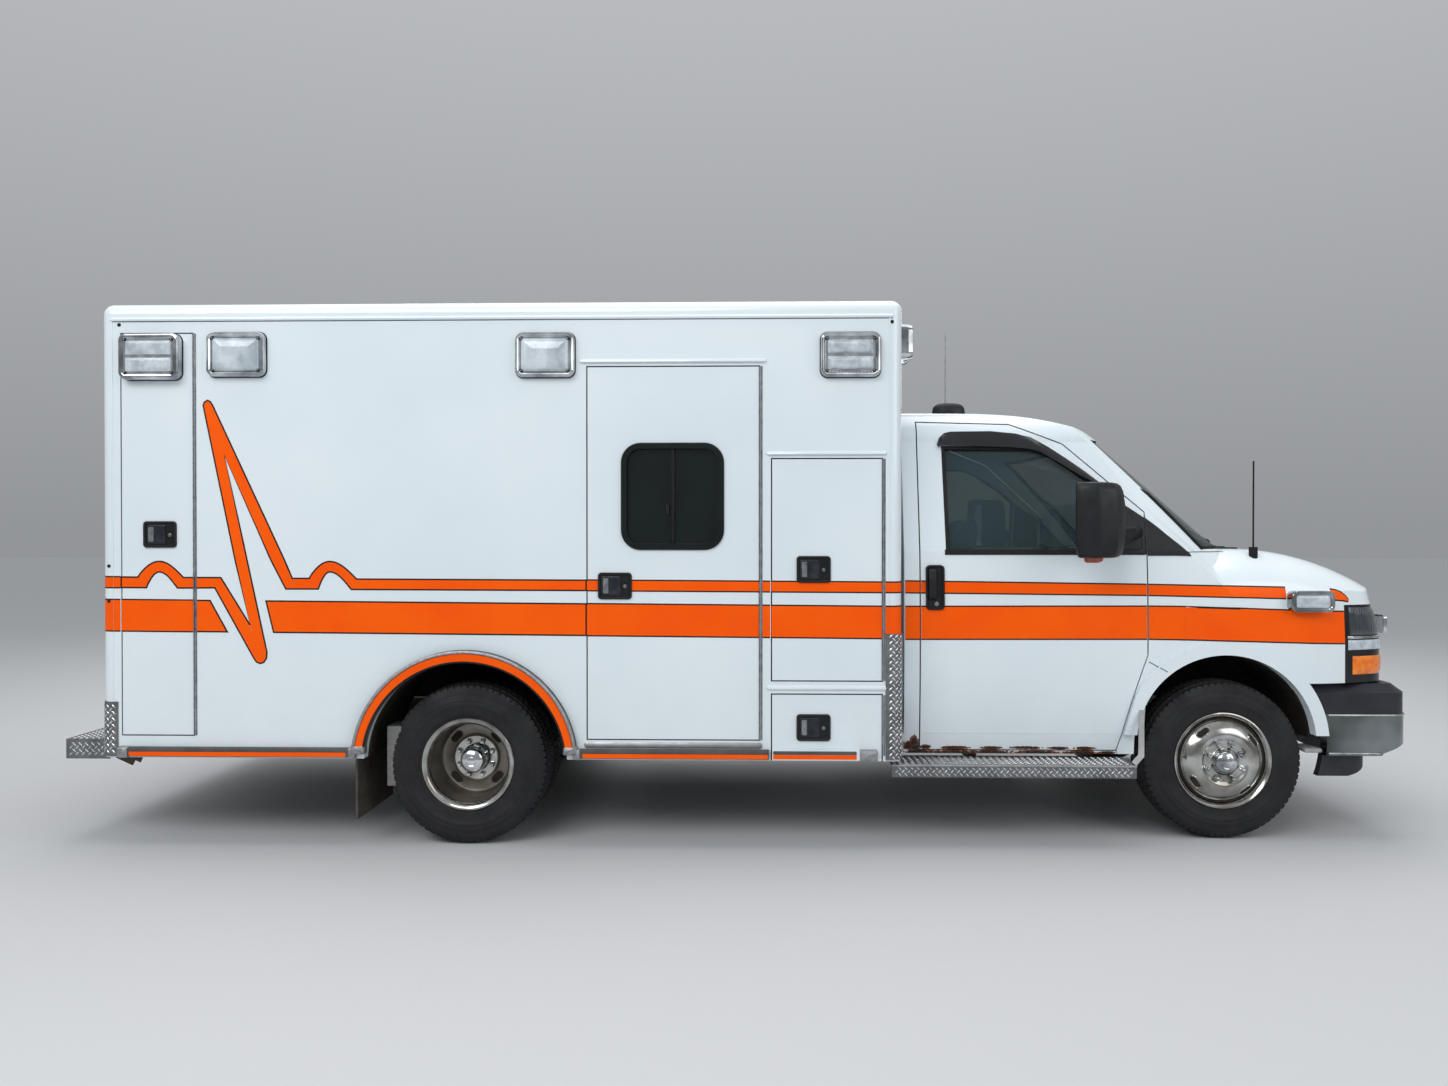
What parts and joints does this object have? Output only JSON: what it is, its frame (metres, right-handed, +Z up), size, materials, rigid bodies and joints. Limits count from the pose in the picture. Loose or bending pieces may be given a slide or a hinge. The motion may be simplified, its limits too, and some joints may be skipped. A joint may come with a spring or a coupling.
{
  "type": "ambulance",
  "caption": "Box-body road ambulance on a van chassis, with opening cab doors, patient doors, lockers and bonnet, steered front wheels and twin rear wheels.",
  "frame": {"origin": "on the ground, half way along the vehicle's length and width", "axes": "+X towards the front, +Y to the vehicle's left, +Z up"},
  "size_m": [6.35, 2.574, 2.503],
  "materials": {
    "white_paint": "gloss",
    "rubber_black": "matte",
    "tyre": "matte",
    "wheel_steel": "polished",
    "chrome": "polished",
    "black_plastic": "matte",
    "lamp_lens": "gloss",
    "headlamp": "gloss",
    "tinted_glass": "gloss",
    "clear_glass": "gloss",
    "frame_black": "semi-gloss",
    "cast_iron": "rough",
    "tread_plate": "polished",
    "liner_metal": "satin",
    "cabinet": "satin",
    "grey_plastic": "matte",
    "seat_cloth": "matte"
  },
  "bodies": {
    "vehicle": {"ladder_frame": "frame_black", "rear_axle_and_springs": "cast_iron", "front_suspension": "cast_iron", "engine_and_driveline": "cast_iron", "fuel_tank": "frame_black", "exhaust": "liner_metal", "cab_shell": "white_paint", "front_wings": "white_paint", "windscreen": "clear_glass", "headlamps": "headlamp", "nose_lamps": "headlamp", "grille": "chrome", "front_bumper": "chrome", "bumper_trim": "black_plastic", "dash_and_steering_wheel": "grey_plastic", "cab_seats": "seat_cloth", "module_wall_right": "white_paint", "module_wall_left": "white_paint", "module_front_wall": "white_paint", "module_rear_frame": "white_paint", "module_roof": "white_paint", "module_floor": "liner_metal", "locker_liners": "liner_metal", "wheel_well_liners": "black_plastic", "module_lamps": "lamp_lens", "arch_rings": "rubber_black", "rub_rails": "rubber_black", "mud_flaps": "rubber_black", "rear_step": "tread_plate", "running_boards": "tread_plate", "patient_furniture": "cabinet", "aerials": "rubber_black"},
    "knuckle_right": {"steering_knuckle_right": "cast_iron"},
    "knuckle_left": {"steering_knuckle_left": "cast_iron"},
    "front_wheel_right": {"front_wheel_right": "wheel_steel", "front_tyre_right": "tyre"},
    "front_wheel_left": {"front_wheel_left": "wheel_steel", "front_tyre_left": "tyre"},
    "rear_wheels_right": {"rear_twin_wheels_right": "wheel_steel", "rear_twin_tyres_right": "tyre"},
    "rear_wheels_left": {"rear_twin_wheels_left": "wheel_steel", "rear_twin_tyres_left": "tyre"},
    "cab_door_right": {"cab_door_right": "white_paint", "cab_door_glass_right": "clear_glass", "door_mirror_right": "black_plastic"},
    "cab_door_left": {"cab_door_left": "white_paint", "cab_door_glass_left": "clear_glass", "door_mirror_left": "black_plastic"},
    "bonnet": {"bonnet": "white_paint"},
    "side_entry_door": {"side_entry_door": "white_paint", "side_door_window": "tinted_glass"},
    "right_rear_locker_door": {"right_rear_locker_door": "white_paint"},
    "right_front_locker_door": {"right_front_locker_door": "white_paint"},
    "right_low_locker_door": {"right_low_locker_door": "white_paint"},
    "left_rear_locker_door": {"left_rear_locker_door": "white_paint"},
    "left_front_locker_door": {"left_front_locker_door": "white_paint"},
    "rear_door_right": {"rear_door_right": "white_paint", "rear_door_window_right": "tinted_glass"},
    "rear_door_left": {"rear_door_left": "white_paint", "rear_door_window_left": "tinted_glass"}
  },
  "joints": [
    {"name": "steer_right", "type": "hinge", "parent": "vehicle", "child": "knuckle_right", "pos_m": [2.266, -0.829, 0.372], "axis": [0, 0, 1], "range_deg": [-33, 33]},
    {"name": "front_wheel_right_spin", "type": "hinge", "parent": "knuckle_right", "child": "front_wheel_right", "pos_m": [2.266, -0.874, 0.372], "axis": [0, 1, 0], "continuous": true},
    {"name": "rear_wheels_right_spin", "type": "hinge", "parent": "vehicle", "child": "rear_wheels_right", "pos_m": [-1.265, -0.922, 0.372], "axis": [0, 1, 0], "continuous": true},
    {"name": "steer_left", "type": "hinge", "parent": "vehicle", "child": "knuckle_left", "pos_m": [2.266, 0.829, 0.372], "axis": [0, 0, 1], "range_deg": [-33, 33]},
    {"name": "front_wheel_left_spin", "type": "hinge", "parent": "knuckle_left", "child": "front_wheel_left", "pos_m": [2.266, 0.874, 0.372], "axis": [0, 1, 0], "continuous": true},
    {"name": "rear_wheels_left_spin", "type": "hinge", "parent": "vehicle", "child": "rear_wheels_left", "pos_m": [-1.265, 0.922, 0.372], "axis": [0, 1, 0], "continuous": true},
    {"name": "cab_door_right_hinge", "type": "hinge", "parent": "vehicle", "child": "cab_door_right", "pos_m": [1.907, -1.012, 0.9], "axis": [0, 0, 1], "range_deg": [0, 68]},
    {"name": "cab_door_left_hinge", "type": "hinge", "parent": "vehicle", "child": "cab_door_left", "pos_m": [1.907, 1.012, 0.9], "axis": [0, 0, -1], "range_deg": [0, 68]},
    {"name": "bonnet_hinge", "type": "hinge", "parent": "vehicle", "child": "bonnet", "pos_m": [2.436, 0, 1.366], "axis": [0, -1, 0], "range_deg": [0, 48]},
    {"name": "side_entry_door_hinge", "type": "hinge", "parent": "vehicle", "child": "side_entry_door", "pos_m": [0.085, -1.2, 1.3], "axis": [0, 0, 1], "range_deg": [0, 95]},
    {"name": "right_rear_locker_door_hinge", "type": "hinge", "parent": "vehicle", "child": "right_rear_locker_door", "pos_m": [-2.524, -1.2, 1.4], "axis": [0, 0, 1], "range_deg": [0, 95]},
    {"name": "right_front_locker_door_hinge", "type": "hinge", "parent": "vehicle", "child": "right_front_locker_door", "pos_m": [0.643, -1.2, 1.27], "axis": [0, 0, 1], "range_deg": [0, 95]},
    {"name": "right_low_locker_door_hinge", "type": "hinge", "parent": "vehicle", "child": "right_low_locker_door", "pos_m": [0.643, -1.2, 0.55], "axis": [0, 0, 1], "range_deg": [0, 95]},
    {"name": "left_rear_locker_door_hinge", "type": "hinge", "parent": "vehicle", "child": "left_rear_locker_door", "pos_m": [-2.524, 1.2, 1.4], "axis": [0, 0, -1], "range_deg": [0, 95]},
    {"name": "left_front_locker_door_hinge", "type": "hinge", "parent": "vehicle", "child": "left_front_locker_door", "pos_m": [0.643, 1.2, 1.1], "axis": [0, 0, -1], "range_deg": [0, 95]},
    {"name": "rear_door_left_hinge", "type": "hinge", "parent": "vehicle", "child": "rear_door_left", "pos_m": [-2.967, 0.637, 1.45], "axis": [0, 0, -1], "range_deg": [0, 150]},
    {"name": "rear_door_right_hinge", "type": "hinge", "parent": "vehicle", "child": "rear_door_right", "pos_m": [-2.967, -0.637, 1.45], "axis": [0, 0, 1], "range_deg": [0, 150]}
  ],
  "couplings": [
    {"joint": "steer_left", "follows": "steer_right", "ratio": 1}
  ]
}
